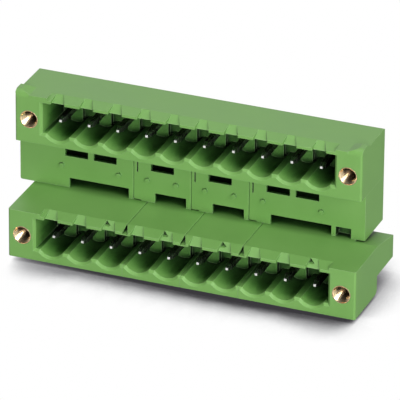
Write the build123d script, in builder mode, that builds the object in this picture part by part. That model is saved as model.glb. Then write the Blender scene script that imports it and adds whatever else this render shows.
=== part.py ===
from build123d import *
from math import sqrt
import os

# Contact grid: both tiers share one pitch, and the upper tier stands half a pitch to the left
pitch = 5.08
block_positions = {
    "left_end_block": range(1, 4),
    "inner_left_block": range(4, 6),
    "inner_right_block": range(6, 8),
    "right_end_block": range(8, 11),
}
tier_shift = 2.54
flange_reach = 7.53
insert_reach = 5.08

# Heights and edges of the outer form, in millimetres
tier_height = 8.57
wall_height = 8.04
board_seat = 3.90
front_box_drop = 3.15
upper_set_back = 9.05
wall_set_back = 11.14
heel_radius = 0.90
corner_radius = 0.35
deck_fall = 1.45
deck_crease = 10.25
fall_under_wall = 1.50
top_fall = 0.16

# Plug recess, measured from the front plane and the underside of its tier
contact_axis = 4.17
recess_depth = 9.30
recess_side = 2.75
recess_ceiling = 7.60
ledge_height = 2.00
trough_radius = 2.48
trough_floor = 1.00
lead_in = 0.40
boss_width = 2.10
boss_proud = 0.90
boss_top = 5.35

# Lip over the recess: a bevel, and a notch over each contact that narrows towards the rear
lip_edge_height = 8.10
bevel_depth = 2.35
bevel_left = 1.85
bevel_right = 2.88
notch_left = 1.20
notch_right = 1.28
notch_top_left = 1.08
notch_top_right = 0.20
notch_low_depth = 0.65
notch_overcut = 0.20
lip_pocket_width = 0.95
lip_pocket_depth = 2.20
lip_pocket_floor = 0.16
gate_pocket_width = 0.95
gate_pocket_depth = 1.60
gate_pocket_sink = 0.60

# Hollow wall that carries the upper tier
wall_skin = 0.60
wall_end_skin = 0.84
rear_wall = 2.20
glimpse_depth = 1.40
window_width = 4.10
window_height = 2.34
foot_slot_height = 1.76
foot_slot_start = 1.27
peg_radius = 0.38
peg_proud = 0.45
peg_height = 4.00
slit_offset = 0.57
slit_width = 0.22
slit_height = 2.90
slit_depth = 0.35
overhang_radius = 0.30
overhang_gap_width = 1.40
side_slot_start = 2.45
side_slot_end = 5.12
side_slot_depth = 1.60

# Raised pads on the flanges of the upper tier
pad_width = 2.50
pad_depth = 3.35
pad_rise = 0.57
pad_radius = 1.20
pad_rear_slope = 0.80
pad_side_slope = 1.60

# Contacts of square section, bent to a right angle
pin_size = 1.00
tip_set_back = 1.40
tip_length = 1.10
tip_size = 0.42
tail_length = 0.60
tail_size = 0.66
bend_radius = 1.00

# Walls and gaps that place the two rows of legs, and so the depth of the mouldings
recess_back_wall = 1.00
board_edge_gap = 0.70
upper_back_wall = 0.27
base_rear_gap = 0.75
rear_cover = 0.08

# Threaded bushes, moulded in behind the face of each flange
spigot_radius = 1.60
spigot_length = 0.60
insert_radius = 1.90
insert_length = 6.40
thread_radius = 1.25
mouth_radius = 1.50
runout_length = 2.20

# Clearances
seam_gap = 0.04
seam_chamfer = 0.10
overhang_gap = 0.14
contact_fit = 0.02
insert_fit = 0.01

# Places worked out from the sizes above
positions = max(numbers[-1] for numbers in block_positions.values())
first_to_last = (positions - 1) * pitch
lower_first = (tier_shift - first_to_last) / 2
upper_first = lower_first - tier_shift
front_box_depth = recess_depth + recess_back_wall
lower_leg_set_back = front_box_depth + board_edge_gap + pin_size / 2
upper_leg_set_back = upper_set_back + recess_depth + upper_back_wall + pin_size / 2
overall_depth = upper_leg_set_back + pin_size / 2 + rear_cover
base_depth = upper_leg_set_back - pin_size / 2 - base_rear_gap
front_face = -overall_depth / 2
rear_face = overall_depth / 2
upper_front = front_face + upper_set_back
wall_front = front_face + wall_set_back
lower_floor = board_seat - front_box_drop
deck = lower_floor + tier_height
upper_floor = deck + wall_height
lower_axis = lower_floor + contact_axis
upper_axis = upper_floor + contact_axis
lower_leg = front_face + lower_leg_set_back
upper_leg = front_face + upper_leg_set_back
half_channel = pin_size / 2 + contact_fit
inner_bend = bend_radius - pin_size / 2
lower_pins = [lower_first + i * pitch for i in range(positions)]
upper_pins = [upper_first + i * pitch for i in range(positions)]


def recess_outline(y, floor, pins, left, right, widened):
    """Draw a section of the recess: a flat ledge with a half-round trough below each contact"""
    low = floor + ledge_height - widened
    high = floor + recess_ceiling
    radius = trough_radius + widened
    half_trough = sqrt(radius**2 - (floor + trough_floor + trough_radius - low) ** 2)
    with BuildSketch(Plane.XZ.offset(-y)) as outline:
        with BuildLine():
            reached = (left, low)
            for x in pins:
                Line(reached, (x - half_trough, low))
                reached = (x + half_trough, low)
                ThreePointArc((x - half_trough, low), (x, floor + trough_floor - widened), reached)
            Polyline(reached, (right, low), (right, high), (left, high), (left, low))
        make_face()
    return outline.sketch


def cut_recess(front, floor, pins, left_wall, right_wall, left_lead, right_lead):
    """Cut the plug recess between two planes, with a chamfer at its mouth"""
    inside = recess_outline(front + lead_in, floor, pins, left_wall, right_wall, 0)
    mouth = recess_outline(
        front, floor, pins, left_wall - left_lead, right_wall + right_lead, lead_in
    )
    loft([mouth, inside], ruled=True, mode=Mode.SUBTRACT)
    extrude(inside, amount=lead_in - recess_depth, mode=Mode.SUBTRACT)


def add_bosses(front, floor, pins):
    """Add the upright boss that backs each contact at the end of the recess"""
    with BuildSketch(Plane.XZ.offset(-(front + recess_depth - boss_proud))) as bosses:
        with Locations([(x, floor + (trough_floor + boss_top) / 2) for x in pins]):
            Rectangle(boss_width, boss_top - trough_floor + 2 * contact_fit)
    extrude(bosses.sketch, amount=-(boss_proud + contact_fit))


def cut_lip(front, floor, pins, left, right):
    """Bevel the lip between two planes, and cut a notch with a sloped floor over each contact"""
    top = floor + tier_height
    with BuildSketch(Plane.YZ.offset(left)) as bevel:
        with BuildLine():
            Polyline(
                (front, floor + lip_edge_height),
                (front + bevel_depth, top),
                (front, top),
                close=True,
            )
        make_face()
    extrude(bevel.sketch, amount=right - left, mode=Mode.SUBTRACT)
    ramp_slope = (tier_height - recess_ceiling) / (bevel_depth - notch_low_depth)
    ramp_rise = ramp_slope * bevel_depth
    for x in pins:
        with Locations((x - notch_left, front, top - ramp_rise)):
            Wedge(
                notch_left + notch_right,
                bevel_depth,
                ramp_rise + notch_overcut,
                notch_left - notch_top_left,
                ramp_rise,
                notch_left + notch_top_right,
                ramp_rise + notch_overcut,
                align=Align.MIN,
                mode=Mode.SUBTRACT,
            )


def cut_pocket(corners, top, floor):
    """Sink one small pocket into the lip, between two heights"""
    with BuildSketch(Plane.XY.offset(top)) as pocket:
        with BuildLine():
            Polyline(*corners, close=True)
        make_face()
    extrude(pocket.sketch, amount=floor - top, mode=Mode.SUBTRACT)


def cut_seam_edges(deck_x, wall_x, inward):
    """Chamfer one side of a seam, along the deck and up the front of the wall"""
    with BuildSketch(Plane.XZ.offset(-(front_face + bevel_depth))) as deck_edge:
        with BuildLine():
            Polyline(
                (deck_x, deck),
                (deck_x + inward * seam_chamfer, deck),
                (deck_x, deck - seam_chamfer),
                close=True,
            )
        make_face()
    extrude(deck_edge.sketch, amount=bevel_depth - wall_set_back, mode=Mode.SUBTRACT)
    with BuildSketch(Plane.XY.offset(upper_floor)) as wall_edge:
        with BuildLine():
            Polyline(
                (wall_x, wall_front),
                (wall_x + inward * seam_chamfer, wall_front),
                (wall_x, wall_front + seam_chamfer),
                close=True,
            )
        make_face()
    extrude(wall_edge.sketch, amount=-wall_height, mode=Mode.SUBTRACT)


def cut_contact_channel(x, boss_front, leg, axis, low, back):
    """Cut the channel, open to the rear, that a bent contact is pressed into"""
    leg_front = leg - half_channel
    with BuildSketch(Plane.YZ.offset(x - half_channel)) as channel:
        with BuildLine():
            Polyline(
                (boss_front, axis - half_channel),
                (leg_front - inner_bend, axis - half_channel),
                (leg_front, axis - half_channel - inner_bend),
                (leg_front, low),
                (back, low),
                (back, axis + half_channel),
                (boss_front, axis + half_channel),
                close=True,
            )
        make_face()
    extrude(channel.sketch, amount=2 * half_channel, mode=Mode.SUBTRACT)


def cut_insert_seat(x, front, axis):
    """Cut the seat of a bush: a narrow mouth that holds its shoulder, and run-out for the screw"""
    with BuildSketch(Plane.XZ.offset(-front)) as mouth:
        with Locations((x, axis)):
            Circle(spigot_radius + insert_fit)
    extrude(mouth.sketch, amount=-spigot_length, mode=Mode.SUBTRACT)
    with BuildSketch(Plane.XZ.offset(-(front + spigot_length))) as seat:
        with Locations((x, axis)):
            Circle(insert_radius + insert_fit)
    extrude(seat.sketch, amount=spigot_length - insert_length - runout_length, mode=Mode.SUBTRACT)


def cut_front_slot(plane_y, left, right, low, high, depth):
    """Cut one rectangular opening into the wall from its front"""
    with BuildSketch(Plane.XZ.offset(-plane_y)) as slot:
        with Locations(((left + right) / 2, (low + high) / 2)):
            Rectangle(right - left, high - low)
    extrude(slot.sketch, amount=-depth, mode=Mode.SUBTRACT)


def housing_block(numbers):
    """Mould one lower block: its stretch of the lower tier, of the base and of the wall"""
    at_left = numbers[0] == 1
    at_right = numbers[-1] == positions
    pins = [lower_pins[i - 1] for i in numbers]
    legs = [upper_pins[i - 1] for i in numbers]
    reach_left = flange_reach if at_left else (pitch - seam_gap) / 2
    reach_right = flange_reach if at_right else (pitch - seam_gap) / 2
    left = pins[0] - reach_left
    right = pins[-1] + reach_right
    wall_left = legs[0] - reach_left
    wall_right = legs[-1] + reach_right

    with BuildPart() as block:
        # Front box and raised base, as one section
        with BuildSketch(Plane.YZ.offset(left)) as section:
            with BuildLine():
                Polyline(
                    (front_face, lower_floor),
                    (front_face + front_box_depth, lower_floor),
                    (front_face + front_box_depth, board_seat),
                    (front_face + base_depth, board_seat),
                    (front_face + base_depth, deck),
                    (front_face, deck),
                    close=True,
                )
            make_face()
        extrude(amount=right - left)
        fillet(block.edges().filter_by(Axis.X).group_by(Axis.Z)[0].sort_by(Axis.Y)[-1], heel_radius)
        if at_left:
            fillet(block.edges().filter_by(Axis.Z).group_by(Axis.X)[0].sort_by(Axis.Y)[0], corner_radius)
        if at_right:
            fillet(block.edges().filter_by(Axis.Z).group_by(Axis.X)[-1].sort_by(Axis.Y)[0], corner_radius)

        # Hollow wall, set half a pitch to the left
        with BuildSketch(Plane.XY.offset(deck)) as wall:
            with Locations(((wall_left + wall_right) / 2, (wall_front + rear_face) / 2)):
                Rectangle(wall_right - wall_left, rear_face - wall_front)
        extrude(amount=wall_height)
        overhang = block.edges().filter_by(Axis.Y).group_by(Axis.X)[0].sort_by(Axis.Z)[0]
        fillet(overhang, overhang_radius)
        if not at_left:
            cut_front_slot(
                wall_front,
                wall_left,
                wall_left + overhang_gap_width,
                deck,
                deck + overhang_gap,
                rear_face - wall_front,
            )
        with BuildSketch(Plane.XY.offset(upper_floor)) as hollow:
            hollow_left = legs[0] - pitch / 2 + wall_end_skin
            hollow_right = legs[-1] + pitch / 2 - wall_end_skin
            hollow_back = rear_face - rear_wall
            with Locations(
                ((hollow_left + hollow_right) / 2, (wall_front + wall_skin + hollow_back) / 2)
            ):
                Rectangle(hollow_right - hollow_left, hollow_back - wall_front - wall_skin)
        extrude(amount=-wall_height, mode=Mode.SUBTRACT)
        cut_front_slot(
            hollow_back, hollow_left, hollow_right, upper_floor - window_height, upper_floor, glimpse_depth
        )

        # Windows between the contacts, and the low slot along the deck
        for near, far in zip(legs, legs[1:]):
            middle = (near + far) / 2
            cut_front_slot(
                wall_front,
                middle - window_width / 2,
                middle + window_width / 2,
                upper_floor - window_height,
                upper_floor,
                wall_skin,
            )
        cut_front_slot(
            wall_front,
            legs[0] + foot_slot_start,
            hollow_right,
            deck,
            deck + foot_slot_height,
            wall_skin,
        )
        if at_right:
            cut_front_slot(
                wall_front,
                legs[-1] + side_slot_start,
                legs[-1] + side_slot_end,
                deck,
                deck + foot_slot_height,
                side_slot_depth,
            )
        if not at_left:
            cut_front_slot(
                wall_front,
                wall_left + slit_offset,
                wall_left + slit_offset + slit_width,
                upper_floor - slit_height,
                upper_floor,
                slit_depth,
            )
        with BuildSketch(Plane.XZ.offset(-wall_front)) as pegs:
            with Locations((legs[0], deck + peg_height), (legs[-1], deck + peg_height)):
                Circle(peg_radius)
        extrude(pegs.sketch, amount=peg_proud)

        # Deck that falls away behind its crease, beyond the wall and a little way under it
        if at_right:
            fall_left = wall_right - fall_under_wall
            with BuildSketch(Plane.YZ.offset(fall_left)) as fall:
                with BuildLine():
                    Polyline(
                        (front_face + deck_crease, deck),
                        (front_face + base_depth, deck - deck_fall),
                        (front_face + base_depth, deck),
                        close=True,
                    )
                make_face()
            extrude(fall.sketch, amount=right - fall_left, mode=Mode.SUBTRACT)

        # Plug side: recess, bosses and lip
        recess_left = pins[0] - recess_side if at_left else left
        recess_right = pins[-1] + recess_side if at_right else right
        left_lead = lead_in if at_left else 0
        right_lead = lead_in if at_right else 0
        cut_recess(
            front_face, lower_floor, pins, recess_left, recess_right, left_lead, right_lead
        )
        add_bosses(front_face, lower_floor, pins)
        lip_left = pins[0] - bevel_left if at_left else left
        lip_right = pins[-1] + bevel_right if at_right else right
        cut_lip(front_face, lower_floor, pins, lip_left, lip_right)
        if not at_left:
            lip_pocket = [
                (left, front_face),
                (left + lip_pocket_width, front_face),
                (left, front_face + lip_pocket_depth),
            ]
            cut_pocket(lip_pocket, deck, lower_floor + recess_ceiling + lip_pocket_floor)
        gate_left = pins[-1] - notch_top_left
        gate_rear = front_face + bevel_depth
        gate_pocket = [
            (gate_left, gate_rear),
            (gate_left + gate_pocket_width, gate_rear - gate_pocket_depth / 2),
            (gate_left, gate_rear - gate_pocket_depth),
        ]
        cut_pocket(gate_pocket, deck, deck - gate_pocket_sink)

        # Chamfers along the seams with the neighbouring mouldings
        if not at_left:
            cut_seam_edges(left, wall_left, 1)
        if not at_right:
            cut_seam_edges(right, wall_right, -1)

        # Channels of both rows of contacts, and the seats of the bushes
        for x in pins:
            cut_contact_channel(
                x,
                front_face + recess_depth - boss_proud,
                lower_leg,
                lower_axis,
                lower_floor,
                front_face + base_depth,
            )
        with BuildSketch(Plane.XY.offset(deck)) as grooves:
            with Locations([(x, (upper_leg - half_channel + rear_face) / 2) for x in legs]):
                Rectangle(2 * half_channel, rear_face - upper_leg + half_channel)
        extrude(grooves.sketch, amount=wall_height, mode=Mode.SUBTRACT)
        if at_left:
            cut_insert_seat(pins[0] - insert_reach, front_face, lower_axis)
        if at_right:
            cut_insert_seat(pins[-1] + insert_reach, front_face, lower_axis)
    return block


def tapered_end(length, end_size, turned):
    """Taper one end of a contact on its four sides"""
    inset = (pin_size - end_size) / 2
    far_side = pin_size - inset
    Wedge(pin_size, length, pin_size, inset, inset, far_side, far_side, rotation=turned)


def contact(x, tip, leg, axis):
    """Bend one square contact, with a tapered tip in front and a tapered tail below"""
    with BuildPart() as pin:
        with BuildSketch(Plane.YZ.offset(x - pin_size / 2)) as bent_bar:
            with BuildLine():
                FilletPolyline(
                    (tip + tip_length, axis),
                    (leg, axis),
                    (leg, tail_length),
                    radius=bend_radius,
                )
            trace(line_width=pin_size)
        extrude(amount=pin_size)
        with Locations((x, tip + tip_length / 2, axis)):
            tapered_end(tip_length, tip_size, (0, 0, 180))
        with Locations((x, leg, tail_length / 2)):
            tapered_end(tail_length, tail_size, (-90, 0, 0))
    return pin


def threaded_bush(x, front, axis):
    """Turn one threaded bush: a spigot level with the flange, and a shoulder held behind it"""
    mouth_depth = mouth_radius - thread_radius
    with BuildPart() as bush:
        with BuildSketch(Plane(origin=(x, front, axis), x_dir=(1, 0, 0), z_dir=(0, 0, 1))):
            with BuildLine():
                Polyline(
                    (mouth_radius, 0),
                    (spigot_radius, 0),
                    (spigot_radius, spigot_length + insert_fit),
                    (insert_radius, spigot_length + insert_fit),
                    (insert_radius, insert_length),
                    (thread_radius, insert_length),
                    (thread_radius, mouth_depth),
                    close=True,
                )
            make_face()
        revolve(axis=Axis((x, front, axis), (0, 1, 0)))
    return bush


def flange_pad(outer, inward):
    """Raise one pad on a flange: a round front, a sloped rear and a long slope to the inner side"""
    pad_top = upper_top + pad_rise
    inner = outer + inward * pad_width
    with BuildSketch(Plane.XZ.offset(-upper_front)) as pad:
        with BuildLine():
            Polyline(
                (outer, upper_top),
                (outer, pad_top),
                (inner - inward * pad_side_slope, pad_top),
                (inner, upper_top),
                close=True,
            )
        make_face()
    extrude(pad.sketch, amount=-pad_depth)
    with BuildSketch(Plane.YZ.offset(min(outer, inner))) as trimmed:
        with BuildLine():
            Polyline(
                (upper_front + pad_depth - pad_rear_slope, pad_top),
                (upper_front + pad_depth, pad_top),
                (upper_front + pad_depth, upper_top),
                close=True,
            )
        make_face()
        with BuildLine():
            Line((upper_front, pad_top - pad_radius), (upper_front, pad_top))
            Line((upper_front, pad_top), (upper_front + pad_radius, pad_top))
            CenterArc((upper_front + pad_radius, pad_top - pad_radius), pad_radius, 90, 90)
        make_face()
    extrude(trimmed.sketch, amount=pad_width, mode=Mode.SUBTRACT)


os.makedirs("parts", exist_ok=True)

# Lower mouldings, from left to right
for name, numbers in block_positions.items():
    block = housing_block(numbers)
    block.part.label = name
    export_step(block.part, f"parts/{name}.step")

# Upper moulding: one piece over all the positions
upper_left = upper_pins[0] - flange_reach
upper_right = upper_pins[-1] + flange_reach
upper_top = upper_floor + tier_height
with BuildPart() as upper_housing:
    with BuildSketch(Plane.YZ.offset(upper_left)) as section:
        with BuildLine():
            Polyline(
                (upper_front, upper_floor),
                (rear_face, upper_floor),
                (rear_face, upper_top - top_fall),
                (upper_front + deck_crease, upper_top),
                (upper_front, upper_top),
                close=True,
            )
        make_face()
    extrude(amount=upper_right - upper_left)
    fillet(upper_housing.edges().filter_by(Axis.Z).group_by(Axis.Y)[0], corner_radius)

    flange_pad(upper_left, 1)
    flange_pad(upper_right, -1)
    cut_recess(
        upper_front,
        upper_floor,
        upper_pins,
        upper_pins[0] - recess_side,
        upper_pins[-1] + recess_side,
        lead_in,
        lead_in,
    )
    add_bosses(upper_front, upper_floor, upper_pins)
    cut_lip(
        upper_front,
        upper_floor,
        upper_pins,
        upper_pins[0] - bevel_left,
        upper_pins[-1] + bevel_right,
    )
    for x in upper_pins:
        cut_contact_channel(
            x,
            upper_front + recess_depth - boss_proud,
            upper_leg,
            upper_axis,
            upper_floor,
            rear_face,
        )
    cut_insert_seat(upper_pins[0] - insert_reach, upper_front, upper_axis)
    cut_insert_seat(upper_pins[-1] + insert_reach, upper_front, upper_axis)
upper_housing.part.label = "upper_housing"
export_step(upper_housing.part, "parts/upper_housing.step")

# Contacts: one node each, counted from the left
for i in range(positions):
    lower_contact = contact(lower_pins[i], front_face + tip_set_back, lower_leg, lower_axis)
    lower_contact.part.label = f"lower_contact_{i + 1}"
    export_step(lower_contact.part, f"parts/lower_contact_{i + 1}.step")
    upper_contact = contact(upper_pins[i], upper_front + tip_set_back, upper_leg, upper_axis)
    upper_contact.part.label = f"upper_contact_{i + 1}"
    export_step(upper_contact.part, f"parts/upper_contact_{i + 1}.step")

# Threaded bushes: two in each tier
bush_places = {
    "lower_left_insert": (lower_pins[0] - insert_reach, front_face, lower_axis),
    "lower_right_insert": (lower_pins[-1] + insert_reach, front_face, lower_axis),
    "upper_left_insert": (upper_pins[0] - insert_reach, upper_front, upper_axis),
    "upper_right_insert": (upper_pins[-1] + insert_reach, upper_front, upper_axis),
}
for name, (x, front, axis) in bush_places.items():
    bush = threaded_bush(x, front, axis)
    bush.part.label = name
    export_step(bush.part, f"parts/{name}.step")
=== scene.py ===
from math import cos, pi, radians, sin

import bmesh
import bpy
from mathutils import Matrix, Vector


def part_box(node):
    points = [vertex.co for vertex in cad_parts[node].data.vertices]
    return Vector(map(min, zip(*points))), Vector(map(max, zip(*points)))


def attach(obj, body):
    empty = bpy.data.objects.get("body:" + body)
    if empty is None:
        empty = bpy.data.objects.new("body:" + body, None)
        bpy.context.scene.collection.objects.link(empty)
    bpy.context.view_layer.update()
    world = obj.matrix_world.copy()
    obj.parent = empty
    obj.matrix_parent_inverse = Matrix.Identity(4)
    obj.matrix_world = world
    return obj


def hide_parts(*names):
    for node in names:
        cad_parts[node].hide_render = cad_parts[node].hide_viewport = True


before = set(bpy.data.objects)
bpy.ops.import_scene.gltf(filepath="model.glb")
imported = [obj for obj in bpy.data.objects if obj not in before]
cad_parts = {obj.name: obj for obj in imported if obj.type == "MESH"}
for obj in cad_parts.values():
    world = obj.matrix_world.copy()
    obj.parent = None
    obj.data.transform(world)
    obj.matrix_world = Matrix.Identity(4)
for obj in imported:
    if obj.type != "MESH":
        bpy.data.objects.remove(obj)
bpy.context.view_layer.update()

# The viewpoint: a long lens from the right of the plug side, well above the part.
# It was fitted to the contacts and the corners of the housing in the photograph.
mm = 0.001
view_turn = radians(21.377)
view_rise = radians(26.36)
view_roll = radians(0.473)
view_distance = 884.77 * mm
aim_point = Vector((1.489, -1.666, 12.934)) * mm
film_width = 36
focal_length = 487.94
forward = Vector((
    -sin(view_turn) * cos(view_rise),
    cos(view_turn) * cos(view_rise),
    -sin(view_rise),
))
level = Vector((cos(view_turn), sin(view_turn), 0))
upright = level.cross(forward)
across = cos(view_roll) * level + sin(view_roll) * upright
upward = cos(view_roll) * upright - sin(view_roll) * level
scene = bpy.context.scene
scene.view_settings.view_transform = "Standard"
lens_data = bpy.data.cameras.new("studio_camera")
lens_data.sensor_width = film_width
lens_data.lens = focal_length
lens_data.clip_start = 10 * mm
lens_data.clip_end = 20000 * mm
studio_camera = bpy.data.objects.new("studio_camera", lens_data)
scene.collection.objects.link(studio_camera)
placement = Matrix((across, upward, -forward)).transposed().to_4x4()
placement.translation = aim_point - view_distance * forward
studio_camera.matrix_world = placement
scene.camera = studio_camera

# The studio air: white to the camera. Reflections see it white behind and beside the part,
# and dim in front of it, where the room is dark. Apart from reflections it gives no light.
room_dimness = 0.06
room_front = -0.55
room_side = 0.05


def spread(tree, value, lowest, highest, at_lowest, at_highest):
    """Turn a value between two limits into one between two others"""
    node = tree.nodes.new("ShaderNodeMapRange")
    node.inputs["From Min"].default_value = lowest
    node.inputs["From Max"].default_value = highest
    node.inputs["To Min"].default_value = at_lowest
    node.inputs["To Max"].default_value = at_highest
    tree.links.new(value, node.inputs["Value"])
    return node


def joined(tree, operation, first, second):
    """Join two values by one sum"""
    node = tree.nodes.new("ShaderNodeMath")
    node.operation = operation
    tree.links.new(first, node.inputs[0])
    tree.links.new(second, node.inputs[1])
    return node.outputs[0]


def seen_share(tree, mirror_share):
    """Give 1 to what the camera sees, and a share of it to what gloss or glass shows"""
    ray = tree.nodes.new("ShaderNodeLightPath")
    glossy, clear = ray.outputs["Is Glossy Ray"], ray.outputs["Is Transmission Ray"]
    bent = joined(tree, "MAXIMUM", glossy, clear)
    mirrored = joined(tree, "MULTIPLY", bent, mirror_share)
    return joined(tree, "MAXIMUM", ray.outputs["Is Camera Ray"], mirrored)


world = bpy.data.worlds.new("studio_air")
scene.world = world
world.use_nodes = True
air = world.node_tree
backdrop = air.nodes["Background"]
backdrop.inputs["Color"].default_value = (1, 1, 1, 1)
air_way = air.nodes.new("ShaderNodeTexCoord")
air_split = air.nodes.new("ShaderNodeSeparateXYZ")
air.links.new(air_way.outputs["Generated"], air_split.inputs["Vector"])
air_side = spread(air, air_split.outputs["Y"], room_front, room_side, room_dimness, 1.0)
air.links.new(seen_share(air, air_side.outputs["Result"]), backdrop.inputs["Strength"])

# The lamps: square soft boxes round the part, all turned towards it. The main ones stand
# high over the plug side and low on its right, and a weak one lights the back.
lamp_reach = 800 * mm


def soft_box(name, turn, rise, size, watts):
    """Hang one soft box that faces the part, at an angle round it and above the floor"""
    glow = bpy.data.lights.new(name, "AREA")
    glow.shape = "SQUARE"
    glow.size = size
    glow.energy = watts
    box = bpy.data.objects.new(name, glow)
    turn, rise = radians(turn), radians(rise)
    way = Vector((sin(turn) * cos(rise), -cos(turn) * cos(rise), sin(rise)))
    box.location = aim_point + lamp_reach * way
    box.rotation_euler = way.to_track_quat("Z", "Y").to_euler()
    scene.collection.objects.link(box)


soft_box("high_box", turn=0, rise=78, size=250 * mm, watts=3.0)
soft_box("right_box", turn=70, rise=30, size=300 * mm, watts=2.1)
soft_box("low_right_box", turn=30, rise=12, size=300 * mm, watts=6.1)
soft_box("rear_box", turn=210, rise=35, size=300 * mm, watts=0.4)

# The floor: a sheet of pale paper with a painted contact shadow under the part. The camera sees
# it glow full white away from that painted shadow, and reflections see it dimmer behind the
# part.
floor_half = 3000 * mm
floor_drop = 0.02 * mm
paper_colour = (0.35, 0.35, 0.355, 1)
shadow_reach = 10.0 * mm
shadow_samples = 16
painted_shadow_deep = (0.044, 0.042, 0.047)
painted_shadow_half = (0.36, 0.36, 0.37)
# The painted shadow is looked for upwards and towards the part from its front, and from the two
# ends it is looked for away from the part, so that it stays narrow there.
front_line = -12.0 * mm
side_line = -6.0 * mm
left_line = -32.0 * mm
right_line = 24.0 * mm
look_left = -1.3
look_right_front = 0.48
look_right_side = 0.12
look_back_front = 1.0
look_back_side = -0.3
look_up = 0.35
mirror_start = -16.0 * mm
mirror_end = -4.0 * mm
mirror_behind = 0.25


def new_finish(name):
    """Open a material, and give it with its nodes and its shader"""
    finish = bpy.data.materials.new(name)
    finish.use_nodes = True
    return finish, finish.node_tree, finish.node_tree.nodes["Principled BSDF"]


def openness(tree, reach, samples):
    """Measure how much of what lies round a point, within a reach, is open air"""
    node = tree.nodes.new("ShaderNodeAmbientOcclusion")
    node.samples = samples
    node.inputs["Distance"].default_value = reach
    return node


def toned(tree, value, *stops):
    """Colour a value from 0 to 1 by stops, each of them a place and a colour"""
    node = tree.nodes.new("ShaderNodeValToRGB")
    ramp = node.color_ramp
    for end, (place, colour) in zip(ramp.elements, (stops[0], stops[-1])):
        end.position = place
        end.color = (*colour, 1)
    for place, colour in stops[1:-1]:
        ramp.elements.new(place).color = (*colour, 1)
    tree.links.new(value, node.inputs["Fac"])
    return node.outputs["Color"]


white = (1, 1, 1)
floor_corners = [
    (-floor_half, -floor_half, 0),
    (floor_half, -floor_half, 0),
    (floor_half, floor_half, 0),
    (-floor_half, floor_half, 0),
]
floor_mesh = bpy.data.meshes.new("studio_floor")
floor_mesh.from_pydata(floor_corners, [], [(0, 1, 2, 3)])
studio_floor = bpy.data.objects.new("studio_floor", floor_mesh)
studio_floor.location.z = -floor_drop
scene.collection.objects.link(studio_floor)

pale_paper, paper, paper_face = new_finish("pale_paper")
paper_face.inputs["Base Color"].default_value = paper_colour
paper_face.inputs["Roughness"].default_value = 0.9
paper_face.inputs["Specular IOR Level"].default_value = 0.0
paper_place = paper.nodes.new("ShaderNodeNewGeometry")
paper_split = paper.nodes.new("ShaderNodeSeparateXYZ")
paper.links.new(paper_place.outputs["Position"], paper_split.inputs["Vector"])
floor_x, floor_y = paper_split.outputs["X"], paper_split.outputs["Y"]
right_look = spread(paper, floor_y, front_line, side_line, look_right_front, look_right_side)
side_look = spread(paper, floor_x, left_line, right_line, look_left, look_right_side)
paper.links.new(right_look.outputs["Result"], side_look.inputs["To Max"])
back_look = spread(paper, floor_y, front_line, side_line, look_back_front, look_back_side)
paper_look = paper.nodes.new("ShaderNodeCombineXYZ")
paper_look.inputs["Z"].default_value = look_up
paper.links.new(side_look.outputs["Result"], paper_look.inputs["X"])
paper.links.new(back_look.outputs["Result"], paper_look.inputs["Y"])
paper_aim = paper.nodes.new("ShaderNodeVectorMath")
paper_aim.operation = "NORMALIZE"
paper.links.new(paper_look.outputs["Vector"], paper_aim.inputs[0])
nearness = openness(paper, shadow_reach, shadow_samples)
paper.links.new(paper_aim.outputs["Vector"], nearness.inputs["Normal"])
# Painted shadow: the glow's colour darkens where the occlusion node finds the part close by.
painted_shadow_tone = toned(
    paper, nearness.outputs["AO"], (0.44, painted_shadow_deep), (0.62, painted_shadow_half), (0.87, white)
)
paper_glow = paper.nodes.new("ShaderNodeEmission")
paper_glow.inputs["Strength"].default_value = 1.0
paper.links.new(painted_shadow_tone, paper_glow.inputs["Color"])
mirror_share = spread(paper, floor_y, mirror_start, mirror_end, 1.0, mirror_behind)
paper_pick = paper.nodes.new("ShaderNodeMixShader")
paper_seen = seen_share(paper, mirror_share.outputs["Result"])
paper.links.new(paper_seen, paper_pick.inputs["Fac"])
paper.links.new(paper_face.outputs["BSDF"], paper_pick.inputs[1])
paper.links.new(paper_glow.outputs["Emission"], paper_pick.inputs[2])
paper_end = paper.nodes["Material Output"]
paper.links.new(paper_pick.outputs["Shader"], paper_end.inputs["Surface"])
floor_mesh.materials.append(pale_paper)

# Housing: five injection mouldings in green thermoplastic, four below and one above. The tool
# leaves a fine satin grain, faint flow bands and slightly rounded edges, which carry a painted
# highlight. Shade is painted into the green in its plug recesses and pockets, so they look
# darker.
flow_bands = 120
green_dark = (0.142, 0.317, 0.073)
green_light = (0.162, 0.345, 0.085)
recess_reach = 14.0 * mm
recess_samples = 8
recess_shade_deep = (0.01, 0.05, 0.015)
recess_shade_half = (0.50, 0.74, 0.50)
pocket_reach = 3.0 * mm
pocket_samples = 6
pocket_shade_deep = (0.02, 0.06, 0.02)
highlight_width = 0.13 * mm
highlight_green = (0.30, 0.50, 0.22, 1)
highlight_most = 0.55
flat_turn = 0.995
edge_turn_full = 0.86
satin_smooth = 0.42
satin_rough = 0.54
grain_scale = 9000
grain_strength = 0.12
grain_depth = 0.02 * mm
moulded_edge = 0.09 * mm
edge_samples = 6


def mottled(tree, place, scale, detail):
    """Spread soft cloudy spots over a surface"""
    node = tree.nodes.new("ShaderNodeTexNoise")
    node.inputs["Scale"].default_value = scale
    node.inputs["Detail"].default_value = detail
    tree.links.new(place, node.inputs["Vector"])
    return node.outputs["Fac"]


def shaded(tree, colour, shade):
    """Deepen a colour by a shade"""
    node = tree.nodes.new("ShaderNodeMix")
    node.data_type = "RGBA"
    node.blend_type = "MULTIPLY"
    node.inputs["Factor"].default_value = 1.0
    tree.links.new(colour, node.inputs["A"])
    tree.links.new(shade, node.inputs["B"])
    return node.outputs["Result"]


def rounded_edge(tree, radius):
    """Find the direction of the surface as if its edges were rounded"""
    node = tree.nodes.new("ShaderNodeBevel")
    node.samples = edge_samples
    node.inputs["Radius"].default_value = radius
    return node.outputs["Normal"]


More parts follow.
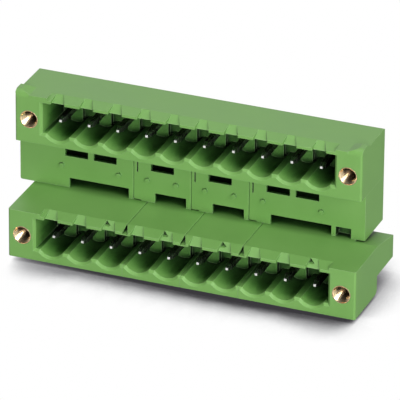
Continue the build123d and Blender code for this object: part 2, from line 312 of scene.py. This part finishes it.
def raised(tree, height, strength, depth, edge_radius):
    """Raise a fine relief on a surface with rounded edges"""
    node = tree.nodes.new("ShaderNodeBump")
    node.inputs["Strength"].default_value = strength
    node.inputs["Distance"].default_value = depth
    tree.links.new(height, node.inputs["Height"])
    tree.links.new(rounded_edge(tree, edge_radius), node.inputs["Normal"])
    return node.outputs["Normal"]


green_plastic, plastic, plastic_face = new_finish("green_plastic")
plastic_face.inputs["IOR"].default_value = 1.5
plastic_face.inputs["Specular IOR Level"].default_value = 0.42
plastic_place = plastic.nodes.new("ShaderNodeTexCoord").outputs["Object"]
flow = mottled(plastic, plastic_place, flow_bands, 3)
tint = toned(plastic, flow, (0.3, green_dark), (0.7, green_light))
# Painted shade: the green darkens where an occlusion node finds the moulding close round a
# point, in the recesses and in the small pockets.
recess = openness(plastic, recess_reach, recess_samples)
recess_painted_shade = toned(
    plastic, recess.outputs["AO"], (0.10, recess_shade_deep), (0.24, recess_shade_half), (0.42, white)
)
pocket = openness(plastic, pocket_reach, pocket_samples)
pocket_painted_shade = toned(plastic, pocket.outputs["AO"], (0.30, pocket_shade_deep), (0.46, white))
shade_painted_green = shaded(plastic, shaded(plastic, tint, recess_painted_shade), pocket_painted_shade)
# Painted highlight: the colour is lightened towards a pale green where the rounded-edge
# direction turns away from the flat one.
flat_way = plastic.nodes.new("ShaderNodeNewGeometry")
edge_turn = plastic.nodes.new("ShaderNodeVectorMath")
edge_turn.operation = "DOT_PRODUCT"
plastic.links.new(rounded_edge(plastic, highlight_width), edge_turn.inputs[0])
plastic.links.new(flat_way.outputs["Normal"], edge_turn.inputs[1])
edge_highlight_share = spread(plastic, edge_turn.outputs["Value"], flat_turn, edge_turn_full, 0, highlight_most)
edge_highlight = plastic.nodes.new("ShaderNodeMix")
edge_highlight.data_type = "RGBA"
edge_highlight.inputs["B"].default_value = highlight_green
plastic.links.new(edge_highlight_share.outputs["Result"], edge_highlight.inputs["Factor"])
plastic.links.new(shade_painted_green, edge_highlight.inputs["A"])
plastic.links.new(edge_highlight.outputs["Result"], plastic_face.inputs["Base Color"])
satin = spread(plastic, flow, 0, 1, satin_smooth, satin_rough)
plastic.links.new(satin.outputs["Result"], plastic_face.inputs["Roughness"])
grain = mottled(plastic, plastic_place, grain_scale, 2)
grain_relief = raised(plastic, grain, grain_strength, grain_depth, moulded_edge)
plastic.links.new(grain_relief, plastic_face.inputs["Normal"])
for name in (
    "left_end_block",
    "inner_left_block",
    "inner_right_block",
    "right_end_block",
    "upper_housing",
):
    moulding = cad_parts[name]
    moulding.data.materials.clear()
    moulding.data.materials.append(green_plastic)

# Contacts: square pins of copper alloy, drawn, cut, bent and tinned bright, and pressed into
# the housing from behind. The tin shows fine drawn lines along the pin and a soft mottle,
# and shade is painted into it where the pins stand deep in the plug recesses.
contact_count = 10
tin_grey = (0.70, 0.71, 0.70)
tin_bright = (0.86, 0.86, 0.84)
tin_shade_deep = (0.06, 0.05, 0.04)
tin_mottle = 1800
drawn_lines = (9000, 350, 350)
drawn_strength = 0.25
drawn_depth = 0.01 * mm
tin_smooth = 0.20
tin_rough = 0.36
tin_edge = 0.08 * mm

bright_tin, tin, tin_face = new_finish("bright_tin")
tin_face.inputs["Metallic"].default_value = 1.0
tin_place = tin.nodes.new("ShaderNodeTexCoord").outputs["Object"]
tin_spots = mottled(tin, tin_place, tin_mottle, 3)
tin_tone = toned(tin, tin_spots, (0.35, tin_grey), (0.65, tin_bright))
# Painted shade: the tin darkens where an occlusion node finds the housing close round it.
tin_recess = openness(tin, recess_reach, recess_samples)
tin_painted_shade = toned(tin, tin_recess.outputs["AO"], (0.12, tin_shade_deep), (0.34, white))
tin.links.new(shaded(tin, tin_tone, tin_painted_shade), tin_face.inputs["Base Color"])
drawn_scale = tin.nodes.new("ShaderNodeMapping")
drawn_scale.inputs["Scale"].default_value = drawn_lines
tin.links.new(tin_place, drawn_scale.inputs["Vector"])
drawn = mottled(tin, drawn_scale.outputs["Vector"], 1.0, 2)
tin_gloss = spread(tin, drawn, 0, 1, tin_smooth, tin_rough)
tin.links.new(tin_gloss.outputs["Result"], tin_face.inputs["Roughness"])
drawn_relief = raised(tin, drawn, drawn_strength, drawn_depth, tin_edge)
tin.links.new(drawn_relief, tin_face.inputs["Normal"])
for tier in ("lower", "upper"):
    for place in range(1, contact_count + 1):
        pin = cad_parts[f"{tier}_contact_{place}"]
        pin.data.materials.clear()
        pin.data.materials.append(bright_tin)

# Bushes: turned from free-cutting brass and tapped M3, held behind the faces of the flanges.
# Each is a spigot with a countersunk mouth, a shoulder, and a thread down its whole bore.
mouth_radius = 1.50 * mm
bore_radius = 1.25 * mm
root_radius = 1.49 * mm
spigot_radius = 1.60 * mm
shoulder_radius = 1.90 * mm
shoulder_start = 0.61 * mm
bush_length = 6.40 * mm
edge_break = 0.05 * mm
thread_pitch = 0.50 * mm
crest_end = 0.14
root_start = 0.50
root_end = 0.64
thread_form = (
    (0.0, bore_radius),
    (crest_end, bore_radius),
    (root_start, root_radius),
    (root_end, root_radius),
)
segments = 48
weld_distance = 0.001 * mm
sharp_angle = radians(25)
brass_dark = (0.80, 0.60, 0.34)
brass_light = (0.90, 0.72, 0.46)
brass_bore_shade = (0.05, 0.03, 0.015)
tarnish_scale = 900
bore_reach = 5.0 * mm
brass_smooth = 0.20
brass_rough = 0.28

turned_brass, brass, brass_face = new_finish("turned_brass")
brass_face.inputs["Metallic"].default_value = 1.0
brass_place = brass.nodes.new("ShaderNodeTexCoord").outputs["Object"]
tarnish = mottled(brass, brass_place, tarnish_scale, 2)
brass_tone = toned(brass, tarnish, (0.35, brass_dark), (0.65, brass_light))
# Painted shade: the brass darkens deep in the bore, where an occlusion node finds the thread
# close round a point.
bore = openness(brass, bore_reach, recess_samples)
bore_painted_shade = toned(brass, bore.outputs["AO"], (0.10, brass_bore_shade), (0.42, white))
brass.links.new(shaded(brass, brass_tone, bore_painted_shade), brass_face.inputs["Base Color"])
brass_gloss = spread(brass, tarnish, 0, 1, brass_smooth, brass_rough)
brass.links.new(brass_gloss.outputs["Result"], brass_face.inputs["Roughness"])


def bore_point(depth, radius, angle):
    """Place one point of the bore, inside the countersinks at its two ends"""
    depth = min(max(depth, 0), bush_length)
    front_cone = mouth_radius - depth
    rear_cone = mouth_radius - (bush_length - depth)
    reach = max(radius, front_cone, rear_cone)
    if depth in (0, bush_length):
        reach = mouth_radius
    return reach * cos(angle), depth, reach * sin(angle)


def threaded_bush(name, node):
    """Turn and tap one bush where its plain node stands"""
    low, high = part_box(node)
    centre = Vector(((low[0] + high[0]) / 2, low[1], (low[2] + high[2]) / 2))
    mesh = bmesh.new()
    rows = []
    turns = int(bush_length / thread_pitch) + 2
    for turn in range(-1, turns):
        for phase, radius in thread_form:
            row = []
            for k in range(segments + 1):
                share = k / segments
                depth = (turn + phase + share) * thread_pitch
                point = Vector(bore_point(depth, radius, 2 * pi * share))
                row.append(mesh.verts.new(centre + point))
            rows.append(row)
    outside = (
        (mouth_radius, 0),
        (spigot_radius - edge_break, 0),
        (spigot_radius, edge_break),
        (spigot_radius, shoulder_start),
        (shoulder_radius, shoulder_start),
        (shoulder_radius, bush_length),
        (mouth_radius, bush_length),
    )
    rings = []
    for radius, depth in outside:
        ring = []
        for k in range(segments + 1):
            angle = 2 * pi * k / segments
            point = Vector((radius * cos(angle), depth, radius * sin(angle)))
            ring.append(mesh.verts.new(centre + point))
        rings.append(ring)
    for surface, flipped in ((rows, False), (rings, True)):
        for near, far in zip(surface, surface[1:]):
            for k in range(segments):
                corners = [near[k], near[k + 1], far[k + 1], far[k]]
                mesh.faces.new(reversed(corners) if flipped else corners)
    bmesh.ops.remove_doubles(mesh, verts=mesh.verts, dist=weld_distance)
    bmesh.ops.dissolve_degenerate(mesh, dist=weld_distance, edges=mesh.edges)
    bmesh.ops.recalc_face_normals(mesh, faces=mesh.faces)
    shape = bpy.data.meshes.new(name)
    mesh.to_mesh(shape)
    mesh.free()
    shape.materials.append(turned_brass)
    shape.shade_smooth()
    shape.set_sharp_from_angle(angle=sharp_angle)
    bush = bpy.data.objects.new(name, shape)
    scene.collection.objects.link(bush)
    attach(bush, "root")
    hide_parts(node)


for corner in ("lower_left", "lower_right", "upper_left", "upper_right"):
    threaded_bush(f"{corner}_bush", f"{corner}_insert")
